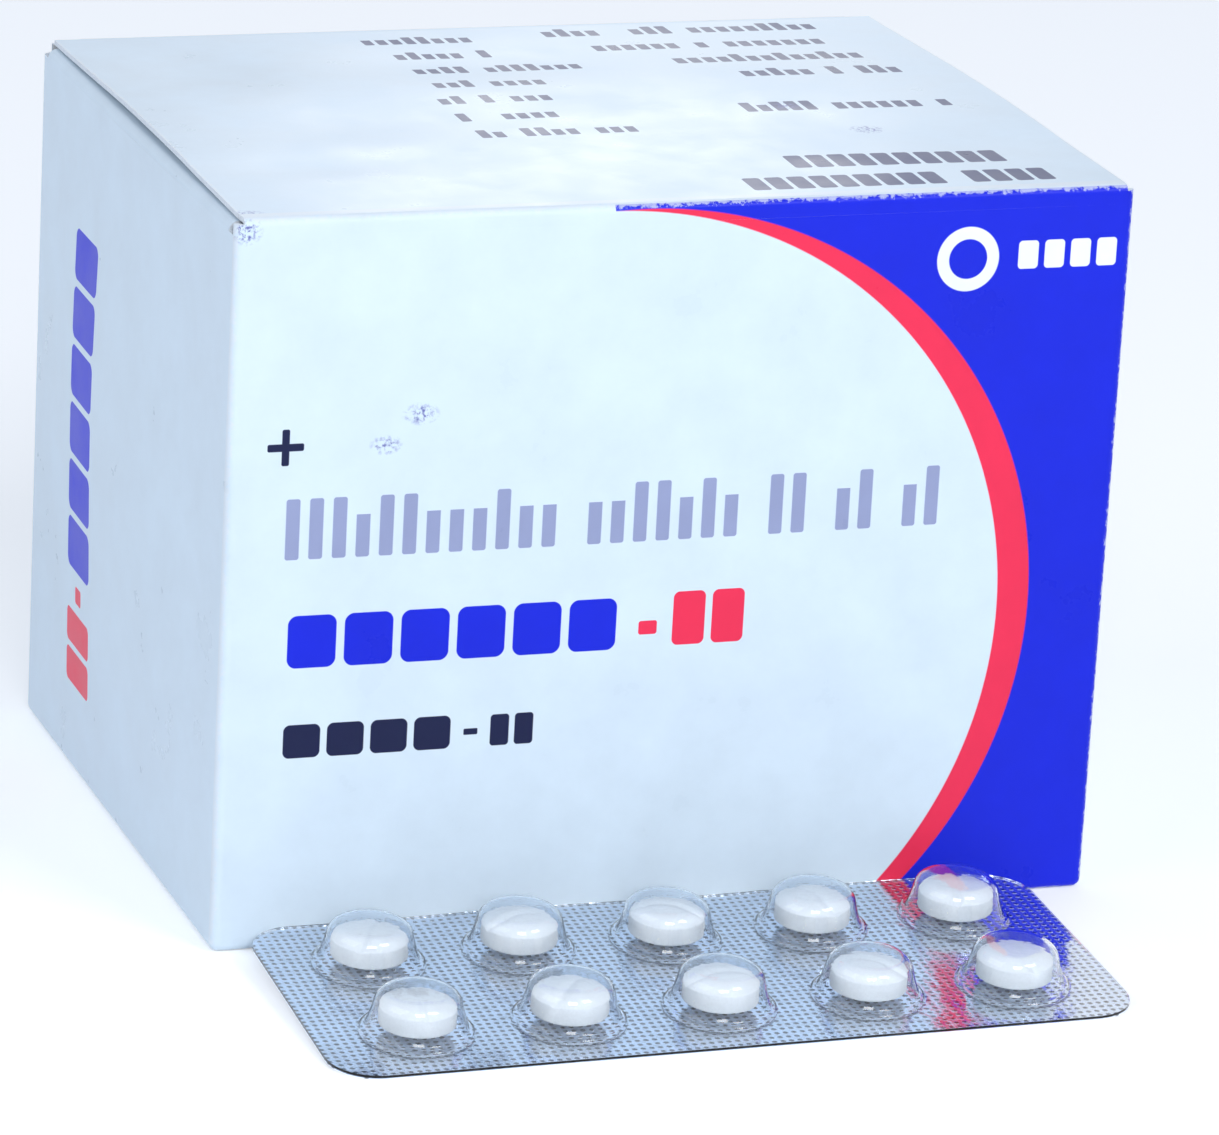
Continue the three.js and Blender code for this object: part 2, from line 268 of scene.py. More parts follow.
def board_faces(points, normal, rims="nflr", outer=0, inner=1, edge=2, thickness=BOARD):
    """Outer face, inner face one thickness behind it, and cut edges: near, far, left and right."""
    back = points - normal * thickness
    cuts = {
        "n": np.stack([back[0], points[0]]),
        "f": np.stack([points[-1], back[-1]]),
        "l": np.stack([points[:, 0], back[:, 0]]),
        "r": np.stack([back[:, -1], points[:, -1]]),
    }
    faces = [(points, outer, "outer"), (back[::-1], inner, "inner")]
    return faces + [(cuts[side], edge, None) for side in rims]


def piece(name, faces, materials, body=None):
    """A mesh from grids of points in mm. Each grid has a material number and a group.

    Points of one group that lie in one place are joined, so that it shades smoothly. Groups, and
    grids with none, meet in sharp edges. Squares whose corners fall together become triangles.
    """
    points, corners, numbers, groups = [], [], [], []
    count = 0
    for order, (grid, number, group) in enumerate(faces):
        rows, columns = grid.shape[:2]
        index = np.arange(rows * columns).reshape(rows, columns) + count
        low_left, low_right = index[:-1, :-1].ravel(), index[:-1, 1:].ravel()
        top_left, top_right = index[1:, :-1].ravel(), index[1:, 1:].ravel()
        corners.append(np.stack([low_left, low_right, top_right], axis=1))
        corners.append(np.stack([low_left, top_right, top_left], axis=1))
        numbers.append(np.full(2 * len(low_left), number))
        groups.append(np.full(rows * columns, SMOOTH_GROUPS.get(group, order)))
        points.append(grid.reshape(-1, 3))
        count += rows * columns
    points, groups = np.concatenate(points), np.concatenate(groups)
    keys = np.column_stack([np.round(points * JOINS_PER_MM), groups])
    _, first, joined = np.unique(keys, axis=0, return_index=True, return_inverse=True)
    triangles = joined.ravel()[np.concatenate(corners)]
    numbers = np.concatenate(numbers)
    whole = (triangles != np.roll(triangles, 1, axis=1)).all(axis=1)
    triangles, numbers = triangles[whole], numbers[whole]
    mesh = bpy.data.meshes.new(name)
    mesh.from_pydata((points[first] * MM).tolist(), [], triangles.tolist())
    for material in materials:
        mesh.materials.append(material)
    mesh.polygons.foreach_set("material_index", numbers.astype(np.int32))
    mesh.polygons.foreach_set("use_smooth", np.ones(len(triangles), bool))
    mesh.update()
    made = bpy.data.objects.new(name, mesh)
    bpy.context.scene.collection.objects.link(made)
    if body:
        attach(made, body)
    return made


def around_sleeve(s):
    """Plan of the sleeve at distance s: four straight panels, each followed by a quarter arc."""
    r = FOLD_RADIUS
    starts = [(r - WIDTH / 2, FRONT), (WIDTH / 2, FRONT + r),
              (WIDTH / 2 - r, REAR), (-WIDTH / 2, REAR - r)]
    x, y, out_x, out_y = (np.zeros_like(s) for _ in range(4))
    begin = 0.0
    for side, length in enumerate(PANEL_LENGTHS):
        turn = side * ARC
        ahead = np.array([math.cos(turn), math.sin(turn)])
        out = np.array([math.sin(turn), -math.cos(turn)])
        t = s - begin
        on = t >= 0 if side else np.ones_like(s, bool)
        x = np.where(on, starts[side][0] + t * ahead[0], x)
        y = np.where(on, starts[side][1] + t * ahead[1], y)
        out_x, out_y = np.where(on, out[0], out_x), np.where(on, out[1], out_y)
        centre = np.array(starts[side]) + length * ahead - r * out
        on, angle = t >= length, turn - ARC + (t - length) / r
        x = np.where(on, centre[0] + r * np.cos(angle), x)
        y = np.where(on, centre[1] + r * np.sin(angle), y)
        out_x, out_y = np.where(on, np.cos(angle), out_x), np.where(on, np.sin(angle), out_y)
        begin += length + r * ARC
    return x, y, out_x, out_y


def swell(x, y, z):
    """How far the panels bow outwards: powers of half sines over each panel's height and breadth,
    times 1 plus a ripple of crossed waves that are 70 to 125 mm long."""
    rise = np.sin(math.pi * np.clip(z / HEIGHT, 0, 1)) ** BULGE_UP_POWER
    on_side = np.abs(np.abs(x) - WIDTH / 2) < FOLD_RADIUS / 4
    across = np.clip(np.where(on_side, (y - FRONT) / DEPTH, (x + WIDTH / 2) / WIDTH), 0, 1)
    ripple = 1 + RIPPLE * np.sin(0.09 * x + 0.05 * z + 1.1) * np.cos(0.07 * z - 0.06 * y)
    bulge = np.where(on_side, SIDE_BULGE, FACE_BULGE)
    return bulge * np.sin(math.pi * across) ** BULGE_ACROSS_POWER * rise * ripple


def sleeve_surface(s, t):
    """Up the sleeve by distance t: a quarter arc from the underside, then the straight wall."""
    x, y, out_x, out_y = around_sleeve(s)
    r = FOLD_RADIUS
    turn = np.minimum(t / r, ARC)
    z = r * (1 - np.cos(turn)) + np.maximum(t - r * ARC, 0)
    out = swell(x, y, z) - r * (1 - np.sin(turn))
    return np.stack([x + out_x * out, y + out_y * out, z], axis=-1)


def sleeve_faces():
    """The sleeve's four panels and four corners, each up to its own top."""
    r = FOLD_RADIUS
    bottom = np.linspace(0, r * ARC, FOLD_STEPS)
    tops = [CREASE_START, SLEEVE_TOP, SIDE_TOP, SLEEVE_TOP]
    corner_tops = [CORNER_TOP, SLEEVE_TOP, SLEEVE_TOP, CORNER_TOP]
    faces = []
    begin = 0.0
    for side, length in enumerate(PANEL_LENGTHS):
        end = begin + length
        stretches = ((begin, end, PANEL_STEPS, tops[side]),
                     (end, end + r * ARC, CORNER_STEPS, corner_tops[side]))
        for low, high, count, top in stretches:
            wall = np.linspace(r * ARC, top - r + r * ARC, RISE_STEPS)
            rows = np.concatenate([bottom, wall[1:]])
            points, normal = skin(np.linspace(low, high, count), rows, sleeve_surface)
            normal[0] = (0, 0, -1)
            printed = 0 if side == 0 or (side == 3 and low == end) else 3
            faces += board_faces(points, normal, "f", outer=printed)
        begin = end + r * ARC
    return faces


def dust_flap_faces(side):
    """A quarter arc off the side panel's top over t, then a flat flap that narrows and sags."""
    r = FOLD_RADIUS

    def shape(u, t):
        turn = np.clip(t / r, 0, ARC)
        flat = np.maximum(t - r * ARC, 0)
        share = flat / DUST_REACH
        near = FRONT + DUST_FRONT_RELIEF + DUST_FRONT_TAPER * share
        far = REAR - DUST_REAR_RELIEF - DUST_REAR_TAPER * share
        x = WIDTH / 2 - r + r * np.cos(turn) - flat
        z = SLEEVE_TOP + r * np.sin(turn) + np.minimum(t, 0) - DUST_SAG * share ** 2
        return np.stack([side * x, near + (far - near) * u, z], axis=-1)

    across = np.linspace(0, 1, FLAP_STEPS)[::side]
    fold = np.linspace(0, r * ARC, DUST_FOLD_STEPS)
    along = np.concatenate([fold, r * ARC + np.linspace(0, DUST_REACH, FLAP_STEPS)[1:]])
    points, normal = skin(across, along, shape)
    return board_faces(points, side * normal, "flr", outer=3)


def bottom_flap_faces(reach, along, level):
    """A flap seen from below: x spans the reach on both sides, y the places along, z is level(y)."""
    def shape(x, y):
        return np.stack([-x, y, level(y)], axis=-1)

    points, normal = skin(np.linspace(-reach, reach, FLAP_STEPS), along, shape)
    return board_faces(points, normal, outer=3)


def bottom_faces():
    """The outer flap, the inner flap that dips from the rear fold to lie on it, and two dust flaps."""
    inside = WIDTH / 2 - BOARD
    near, far = FRONT + FOLD_RADIUS, REAR - FOLD_RADIUS
    seam = REAR - BOTTOM_FLAP_SHORT
    flat = np.linspace(near, seam, BOTTOM_STEPS)
    reach = WIDTH / 2 - FOLD_RADIUS - BOTTOM_GAP
    faces = bottom_flap_faces(reach, flat, lambda y: 0 * y)

    def dipped(y):
        return BOARD * np.clip((far - y) / (far - seam), 0, 1) ** BOTTOM_DIP_POWER

    along = np.concatenate([flat, np.linspace(seam, far, BOTTOM_DIP_STEPS)[1:]])
    faces += bottom_flap_faces(inside, along, dipped)
    half = BOTTOM_DUST_REACH / 2
    for middle in (inside - half, half - inside):
        def shape(x, y):
            return np.stack([middle + x, y, np.full_like(x, 3 * BOARD)], axis=-1)

        across = np.linspace(-half, half, SHORT_FLAP_STEPS)
        start, end = FRONT + BOTTOM_DUST_SETBACK, REAR - BOTTOM_DUST_SETBACK
        points, normal = skin(across, np.linspace(start, end, SHORT_FLAP_STEPS), shape)
        faces += board_faces(points, normal, outer=1)
    return faces


def glue_flap_faces():
    """The tapered flap that joins the sleeve, glued flat to the right panel's inside near the rear."""
    def shape(y, share):
        past = (REAR - FOLD_RADIUS - y) / GLUE_FLAP_WIDTH
        low = 3 * BOARD + FOLD_RADIUS + GLUE_FLAP_TAPER * past
        high = SLEEVE_TOP - FOLD_RADIUS - GLUE_FLAP_TAPER * past
        x = np.full_like(y, WIDTH / 2 - BOARD - GLUE_GAP)
        return np.stack([x, y, low + (high - low) * share], axis=-1)

    along = np.linspace(REAR - FOLD_RADIUS - GLUE_FLAP_WIDTH, REAR - FOLD_RADIUS, SHORT_FLAP_STEPS)
    points, normal = skin(along, np.linspace(0, 1, FLAP_STEPS), shape)
    return board_faces(points, normal, "nfl", outer=1)


def coordinates(tree):
    """Object coordinates in mm, whole and as x, y and z."""
    place = add(tree, "TexCoord", {}).outputs["Object"]
    place = add(tree, "VectorMath", {"operation": "MULTIPLY"}, place, (1 / MM, 1 / MM, 1 / MM))
    return place, *add(tree, "SeparateXYZ", {}, place).outputs


def bar(tree, plane, centre, half, radius, soft=0.07):
    """1 inside a round-cornered bar, 0 outside: past a smaller box by less than the radius."""
    spot = add(tree, "VectorMath", {"operation": "SUBTRACT"}, plane, (*centre, 0))
    spot = add(tree, "VectorMath", {"operation": "ABSOLUTE"}, spot)
    core = (half[0] - radius, half[1] - radius, 0)
    spot = add(tree, "VectorMath", {"operation": "SUBTRACT"}, spot, core)
    spot = add(tree, "VectorMath", {"operation": "MAXIMUM"}, spot, (0, 0, 0))
    away = add(tree, "VectorMath", {"operation": "LENGTH"}, spot).outputs["Value"]
    return add(tree, "Math", {"operation": "MULTIPLY_ADD", "use_clamp": True}, away, -1 / soft,
               radius / soft + 0.5)


def disc(tree, plane, centre, radii, soft=0.005):
    """1 inside an ellipse, 0 outside: the offset from its centre over its radii is shorter than 1."""
    spot = add(tree, "VectorMath", {"operation": "SUBTRACT"}, plane, (*centre, 0))
    spot = add(tree, "VectorMath", {"operation": "DIVIDE"}, spot, (*radii, 1))
    away = add(tree, "VectorMath", {"operation": "LENGTH"}, spot).outputs["Value"]
    return add(tree, "Math", {"operation": "MULTIPLY_ADD", "use_clamp": True}, away, -1 / soft,
               1 / soft + 0.5)


def either(tree, masks):
    """The largest of several masks."""
    whole = masks[0]
    for mask in masks[1:]:
        whole = add(tree, "Math", {"operation": "MAXIMUM"}, whole, mask)
    return whole


BLOT_CONTRAST = 7.0
BLOT_OFFSET = -3.3
BLOCK_CORNER = 0.2
SHORT_BLOCK_TOP = 0.2
SPAN_CORNER = 0.05
RUB_NEARNESS = 0.62
RUB_STARTS = 0.93
RUB_FULL = 1.03
NOISE_SPAN = (0.3, 0.7)
BOARD_SHADE = (0.95, 1.03)
BOARD_SHEEN = (0.26, 0.38)


def blot(tree, place, plane, centre, radii):
    """A soft smudge: an ellipse eaten away by noise of about half a millimetre."""
    spot = disc(tree, plane, centre, radii, soft=0.8)
    grain = add(tree, "TexNoise", {}, Vector=place, Scale=2.0, Detail=4.0, Roughness=0.7)
    cut = add(tree, "Math", {"operation": "MULTIPLY_ADD", "use_clamp": True}, grain,
              BLOT_CONTRAST, BLOT_OFFSET)
    return add(tree, "Math", {"operation": "MULTIPLY"}, spot, cut)


def type_blocks(tree, plane, origin, pitch, block, spans, empty=0.0, short=0.0, seed=0.0):
    """Rows of plain blocks that stand where words are printed.

    A cell is (plane - origin)/pitch rounded down. Each holds one block, unless white noise of the cell
    is under empty; where it is over 1 - short, the block is lower. Spans are (centre, half size) of the
    bars that the rows keep within.
    """
    place = add(tree, "VectorMath", {"operation": "SUBTRACT"}, plane, (*origin, 0))
    place = add(tree, "VectorMath", {"operation": "DIVIDE"}, place, (*pitch, 1))
    cell = add(tree, "VectorMath", {"operation": "FLOOR"}, place)
    inside = add(tree, "VectorMath", {"operation": "SUBTRACT"}, place, cell)
    inside = add(tree, "VectorMath", {"operation": "SUBTRACT"}, inside, (0.5, 0.5, 0))
    inside = add(tree, "VectorMath", {"operation": "MULTIPLY"}, inside, (*pitch, 0))
    half = (block[0] / 2, block[1] / 2)
    shown = bar(tree, inside, (0, 0), half, BLOCK_CORNER * min(block))
    chance = add(tree, "TexWhiteNoise", {"noise_dimensions": "4D"}, cell, seed)
    kept = add(tree, "Math", {"operation": "GREATER_THAN"}, chance, empty)
    tall = add(tree, "Math", {"operation": "LESS_THAN"}, chance, 1 - short)
    height = add(tree, "SeparateXYZ", {}, inside).outputs["Y"]
    low = add(tree, "Math", {"operation": "LESS_THAN"}, height, SHORT_BLOCK_TOP * block[1])
    for mask in (kept, either(tree, [tall, low])):
        shown = add(tree, "Math", {"operation": "MULTIPLY"}, shown, mask)
    bars = [bar(tree, plane, centre, reach, SPAN_CORNER) for centre, reach in spans]
    return add(tree, "Math", {"operation": "MULTIPLY"}, shown, either(tree, bars))


def rubbed(tree, colour, place, away, reach, most=0.75):
    """Print rubbed off near a fold: noise plus nearness, over a level, whitens the colour."""
    grain = add(tree, "TexNoise", {}, Vector=place, Scale=1.6, Detail=6.0, Roughness=0.75)
    near = add(tree, "MapRange", {}, away, 0.0, reach, RUB_NEARNESS, 0.0)
    both = add(tree, "Math", {"operation": "ADD"}, grain, near)
    mask = add(tree, "MapRange", {}, both, RUB_STARTS, RUB_FULL, 0.0, most)
    return add(tree, "MixRGB", {}, mask, colour, linear(CARD_EDGE))


def coated_board(tree, place, colour):
    """Clay-coated, varnished board: a satin sheen with a cloudy mottle, and the pressed sheet's grain."""
    mottle = add(tree, "TexNoise", {}, Vector=place, Scale=0.11, Detail=5.0, Roughness=0.6)
    shade = add(tree, "MapRange", {}, mottle, *NOISE_SPAN, *BOARD_SHADE)
    tone = add(tree, "MixRGB", {"blend_type": "MULTIPLY"}, 1.0, colour, shade)
    sheen = add(tree, "MapRange", {}, mottle, *NOISE_SPAN, *BOARD_SHEEN)
    grain = add(tree, "TexNoise", {}, Vector=place, Scale=3.0, Detail=3.0)
    relief = add(tree, "Bump", {}, Strength=0.10, Distance=0.00005, Height=grain)
    shader = add(tree, "BsdfPrincipled", {}, Base_Color=tone, Roughness=sheen, Normal=relief,
                 IOR=1.48, Specular_IOR_Level=0.16)
    add(tree, "OutputMaterial", {}, shader)


ROUND_FIELD_LEFT = -8.6
RED_ROUND = ((-5.0, 32.7), (44.2, 43.9))
WHITE_ROUND = ((-8.6, 32.2), (44.3, 44.3))
ROUND_SOFTNESS = 0.003
# Ink, level, height, pitch, block width, start, runs of blocks and gaps by turns, share of short ones.
FRONT_ROWS = [
    (PRINT_VIOLET, 44.9, 6.4, 2.45, 1.45, -42.3, (12, 1, 7, 1, 2, 1, 2, 1, 2), 0.62),
    (PRINT_BLUE, 33.0, 5.6, 5.95, 5.1, -41.6, (6,), 0.0),
    (PRINT_RED, 33.2, 5.8, 4.25, 3.5, -0.6, (2,), 0.0),
    (PRINT_RED, 32.4, 1.5, 2.2, 2.0, -4.0, (1,), 0.0),
    (PRINT_NAVY, 22.4, 3.6, 4.6, 3.9, -41.6, (4,), 0.0),
    (PRINT_NAVY, 22.3, 0.7, 1.6, 1.5, -22.2, (1,), 0.0),
    (PRINT_NAVY, 22.3, 3.4, 2.6, 2.0, -19.6, (2,), 0.0),
    (PRINT_WHITE, 70.2, 3.0, 2.9, 2.2, 35.0, (4,), 0.0),
]
ROW_CELL = 100
CROSS_MIDDLE = (-42.1, 53.5)
CROSS_ARMS = ((1.9, 0.4), (0.4, 1.9))
RING_MIDDLE = (29.8, 70.0)
RING_OUTSIDE = (3.4, 3.4)
RING_HOLE = (2.1, 2.1)
FRONT_SMUDGES = [((-28.2, 56.4), (1.5, 0.9)), ((-31.7, 53.3), (1.3, 0.8)),
                 ((-46.9, 75.9), (1.3, 1.1))]
FRONT_RUB = (1.2, 0.6)  # reach, and the most that is rubbed away


def front_print(tree, place, plane, x):
    """White field ended by a round edge with a red arc, blue beyond it, and blocks for the words."""
    left = add(tree, "Math", {"operation": "LESS_THAN"}, x, ROUND_FIELD_LEFT)
    fields = [either(tree, [disc(tree, plane, centre, radii, ROUND_SOFTNESS), left])
              for centre, radii in (RED_ROUND, WHITE_ROUND)]
    colour = add(tree, "MixRGB", {}, fields[0], linear(PRINT_BLUE), linear(PRINT_RED))
    colour = add(tree, "MixRGB", {}, fields[1], colour, linear(CARD_WHITE))
    for ink, level, tall, pitch, wide, start, runs, short in FRONT_ROWS:
        spans = []
        reached = start
        for order, run in enumerate(runs):
            if order % 2 == 0:
                spans.append(((reached + run * pitch / 2, level), (run * pitch / 2, tall / 2)))
            reached += run * pitch
        mask = type_blocks(tree, plane, (start, level - ROW_CELL / 2), (pitch, ROW_CELL),
                           (wide, tall), spans, short=short)
        colour = add(tree, "MixRGB", {}, mask, colour, linear(ink))
    cross = [bar(tree, plane, CROSS_MIDDLE, half, 0.2) for half in CROSS_ARMS]
    colour = add(tree, "MixRGB", {}, either(tree, cross), colour, linear(PRINT_NAVY))
    ring = add(tree, "Math", {"operation": "SUBTRACT", "use_clamp": True},
               disc(tree, plane, RING_MIDDLE, RING_OUTSIDE, 0.03),
               disc(tree, plane, RING_MIDDLE, RING_HOLE, 0.04))
    colour = add(tree, "MixRGB", {}, ring, colour, linear(PRINT_WHITE))
    masks = [blot(tree, place, plane, centre, radii) for centre, radii in FRONT_SMUDGES]
    return add(tree, "MixRGB", {}, either(tree, masks), colour, linear(INK_SMUDGE))


def front_material():
    """Printed front: the inks stop at the lid's fold, and are rubbed along every fold."""
    material, tree = new_material("printed_coated_board_front")
    place, x, y, z = coordinates(tree)
    plane = add(tree, "CombineXYZ", {}, x, z, 0.0)
    colour = front_print(tree, place, plane, x)
    over = add(tree, "Math", {"operation": "GREATER_THAN"}, y, FRONT + BOARD)
    high = add(tree, "Math", {"operation": "GREATER_THAN"}, z, SLEEVE_TOP)
    over = add(tree, "Math", {"operation": "MULTIPLY"}, over, high)
    colour = add(tree, "MixRGB", {}, over, colour, linear(CARD_WHITE))
    from_side = add(tree, "Math", {"operation": "SUBTRACT"}, WIDTH / 2,
                    add(tree, "Math", {"operation": "ABSOLUTE"}, x))
    from_top = add(tree, "Math", {"operation": "SUBTRACT"}, HEIGHT, z)
    from_end = add(tree, "Math", {"operation": "MINIMUM"}, from_top, z)
    away = add(tree, "Math", {"operation": "MINIMUM"}, from_side, from_end)
    coated_board(tree, place, rubbed(tree, colour, place, away, *FRONT_RUB))
    return material


LEFT_PANEL_REACH = 2 - WIDTH / 2
SIDE_ROWS = [  # ink, lowest block's foot, pitch, block length, blocks, row breadth
    (PRINT_BLUE, 22.6, 6.4, 5.6, 6, 9.4),
    (PRINT_RED, 9.6, 4.5, 3.8, 2, 9.2),
    (PRINT_RED, 19.4, 2.0, 1.9, 1, 2.4),
]
SIDE_RUB_REACH = 1.0


def side_material():
    """The other outer faces: white, with upright blocks of blue and red on the left panel."""
    material, tree = new_material("printed_coated_board_side")
    place, x, y, z = coordinates(tree)
    plane = add(tree, "CombineXYZ", {}, y, z, 0.0)
    left = add(tree, "Math", {"operation": "LESS_THAN"}, x, LEFT_PANEL_REACH)
    colour = linear(CARD_WHITE)
    for ink, low, pitch, wide, count, tall in SIDE_ROWS:
        spans = [((SIDE_TYPE_Y, low + count * pitch / 2), (tall / 2, count * pitch / 2))]
        mask = type_blocks(tree, plane, (SIDE_TYPE_Y - ROW_CELL / 2, low), (ROW_CELL, pitch),
                           (tall, wide), spans)
        mask = add(tree, "Math", {"operation": "MULTIPLY"}, mask, left)
        colour = add(tree, "MixRGB", {}, mask, colour, linear(ink))
    away = add(tree, "Math", {"operation": "SUBTRACT"}, DEPTH / 2,
               add(tree, "Math", {"operation": "ABSOLUTE"}, y))
    coated_board(tree, place, rubbed(tree, colour, place, away, SIDE_RUB_REACH))
    return material


def plain_board(name, colour, grain_mm):
    """Uncoated board, matt, with the fibres' mottle at about the grain's size."""
    material, tree = new_material(name)
    place = coordinates(tree)[0]
    fibres = add(tree, "TexNoise", {}, Vector=place, Scale=1 / grain_mm, Detail=5.0)
    shade = add(tree, "MapRange", {}, fibres, *NOISE_SPAN, 0.9, 1.04)
    tone = add(tree, "MixRGB", {"blend_type": "MULTIPLY"}, 1.0, linear(colour), shade)
    relief = add(tree, "Bump", {}, Strength=0.3, Distance=0.00008, Height=fibres)
    shader = add(tree, "BsdfPrincipled", {}, Base_Color=tone, Roughness=0.85, Normal=relief)
    add(tree, "OutputMaterial", {}, shader)
    return material


board_front = front_material()
board_side = side_material()
board_inside = plain_board("uncoated_board_inside", CARD_INSIDE, 0.8)
board_edge = plain_board("cut_board_edge", CARD_EDGE, 0.3)

carton_faces = sleeve_faces() + dust_flap_faces(1) + dust_flap_faces(-1)
carton_faces += bottom_faces() + glue_flap_faces()
carton = piece("carton_sleeve", carton_faces, [board_front, board_inside, board_edge, board_side],
               "carton")
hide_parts("carton_body")

# Lid crease: the strip of the same board where the lid meets the front panel. It is scored inside so
# that it bends there, and handling has rubbed its print white along the fold.
CREASE_BEND = 0.9
CREASE_ROWS = 22
LID_INSET = 0.8
LID_HALF = WIDTH / 2 - LID_INSET
CREASE_HALF = WIDTH / 2 - FOLD_RADIUS


def crease_surface(x, t):
    """Straight up the front over t, then a quarter arc back, then level as far as the lid panel."""
    rise = CREASE_REACH - CREASE_BEND
    turn = np.clip((t - rise) / CREASE_BEND, 0, ARC)
    level = np.maximum(t - rise - CREASE_BEND * ARC, 0)
    y = FRONT + CREASE_BEND * (1 - np.cos(turn)) + level
    z = CREASE_START + np.minimum(t, rise) + CREASE_BEND * np.sin(turn)
    widen = 1 + (LID_HALF / CREASE_HALF - 1) * np.clip(t / (2 * CREASE_REACH), 0, 1)
    return np.stack([x * widen, y, z], axis=-1)


crease_length = 2 * (CREASE_REACH - CREASE_BEND) + CREASE_BEND * ARC
crease_rows = np.linspace(0, crease_length, CREASE_ROWS)
crease_across = np.linspace(-CREASE_HALF, CREASE_HALF, PANEL_STEPS)
crease_points, crease_normal = skin(crease_across, crease_rows, crease_surface)
crease = piece("lid_crease", board_faces(crease_points, crease_normal, "lr"),
               [board_front, board_inside, board_edge])
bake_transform(crease)

# Lid: the top panel and its tuck flap, cut from the same board. It lies over the dust flaps, slightly
# pillowed and dented by handling, and its rounded tuck is pushed down inside the rear panel.
LID_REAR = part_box("carton_lid")[1][1] / MM
LID_FOLD = LID_REAR - FOLD_RADIUS
LID_START = FRONT + CREASE_REACH
LID_CROWN = 0.55
TUCK_DEPTH = 15.0
TUCK_CORNER = 7.0
TUCK_SHOULDER = 3.0
TUCK_HALF = LID_HALF - TUCK_SHOULDER
TUCK_LEAN = math.radians(6.2)
CROWN_POWER = 1.4
SHOULDER_STEP = 1.5
LID_ROWS = 65
TUCK_CORNER_STEPS = 16
TUCK_FOLD_STEPS = 10
TUCK_STEPS = 6
TYPE_INK = "#3E4A76"
LID_DENTS = [  # centre x and y, breadth, depth, height
    (-24, -4, 13, 9, -0.34), (-6, 20, 16, 8, -0.26), (24, 6, 15, 10, 0.14), (38, -22, 9, 7, -0.22),
    (-36, 22, 8, 10, -0.36), (8, -18, 12, 7, 0.10), (-33, -20, 10, 4, -0.24),
]
# Cell origin, pitch, block, rows as (from, to, distance behind the front), shares of empty and short.
LID_PRINT = [
    ((0, 1.9), (2.4, 7.4), (1.9, 4.4), [(7, 40, 5.6), (14, 38, 13.0)], 0.12, 0.0),
    ((0, 30.3), (1.7, 7.3), (1.2, 3.6), [(17, 41, 33.95), (22, 40, 48.55), (15, 39, 55.85),
                                         (10, 38, 63.15), (6, 39, 70.45)], 0.14, 0.6),
    ((0, 24.15), (1.6, 6.9), (1.1, 3.2), [(-15, 5, 27.6), (-14, -3, 34.5), (-14, -2, 41.4),
                                          (-13, 0, 48.3), (-13, 6, 55.2), (-13, -2, 62.1),
                                          (-15, -2, 69.0)], 0.14, 0.6),
]
LID_SMUDGES = [((22.0, FRONT + 34), (1.2, 1.0)), ((27.5, FRONT + 24), (1.5, 1.2)),
               ((-46.4, FRONT + 1.5), (1.6, 1.4))]
LID_SEED_STEP = 3.7
LID_RUB_REACH = 0.8


def lid_panel(x, y):
    """Level panel raised by a power of half a sine from crease to fold, with bell-shaped dents."""
    span = np.sin(math.pi * np.clip((y - LID_START) / (LID_FOLD - LID_START), 0, 1))
    lift = LID_CROWN * span ** CROWN_POWER
    for centre_x, centre_y, wide, deep, height in LID_DENTS:
        away = ((x - centre_x) / wide) ** 2 + ((y - centre_y) / deep) ** 2
        lift = lift + height * np.exp(-away) * np.sqrt(span)
    return np.stack([x, y, HEIGHT + lift], axis=-1)


def tuck_surface(u, t):
    """The rear fold's arc over t, then the straight tuck; u is the share of its half width."""
    end = FOLD_RADIUS * (ARC + TUCK_LEAN)
    turn = np.clip(t, 0, end) / FOLD_RADIUS
    past = np.maximum(t - end, 0) + np.minimum(t, 0)
    y = LID_FOLD + FOLD_RADIUS * np.sin(turn) + past * np.cos(turn)
    z = HEIGHT - FOLD_RADIUS * (1 - np.cos(turn)) - past * np.sin(turn)
    left = np.clip(TUCK_CORNER - (end + TUCK_DEPTH - t), 0, TUCK_CORNER)
    half = TUCK_HALF - TUCK_CORNER + np.sqrt(TUCK_CORNER ** 2 - left ** 2)
    return np.stack([u * half, y, z], axis=-1)


def lid_faces():
    """Panel and tuck share the points on the rear fold, and the shoulders beside it are cut edges."""
    share = np.linspace(-1, 1, PANEL_STEPS)
    across = np.concatenate([[-LID_HALF, -TUCK_HALF - SHOULDER_STEP], share * TUCK_HALF,
                             [TUCK_HALF + SHOULDER_STEP, LID_HALF]])
    points, normal = skin(across, np.linspace(LID_START, LID_FOLD, LID_ROWS), lid_panel)
    faces = board_faces(points, normal, "lr")
    back = points - normal * BOARD
    for ends in (slice(0, 3), slice(-3, None)):
        faces.append((np.stack([points[-1, ends], back[-1, ends]]), 2, None))
    arc = FOLD_RADIUS * (ARC + TUCK_LEAN)
    straight = TUCK_DEPTH - TUCK_CORNER
    corner = TUCK_CORNER * np.sin(np.linspace(0, ARC, TUCK_CORNER_STEPS))
    along = np.concatenate([np.linspace(0, arc, TUCK_FOLD_STEPS),
                            arc + np.linspace(0, straight, TUCK_STEPS)[1:],
                            arc + TUCK_DEPTH - TUCK_CORNER + corner[1:]])
    return faces + board_faces(*skin(share, along, tuck_surface), "flr")


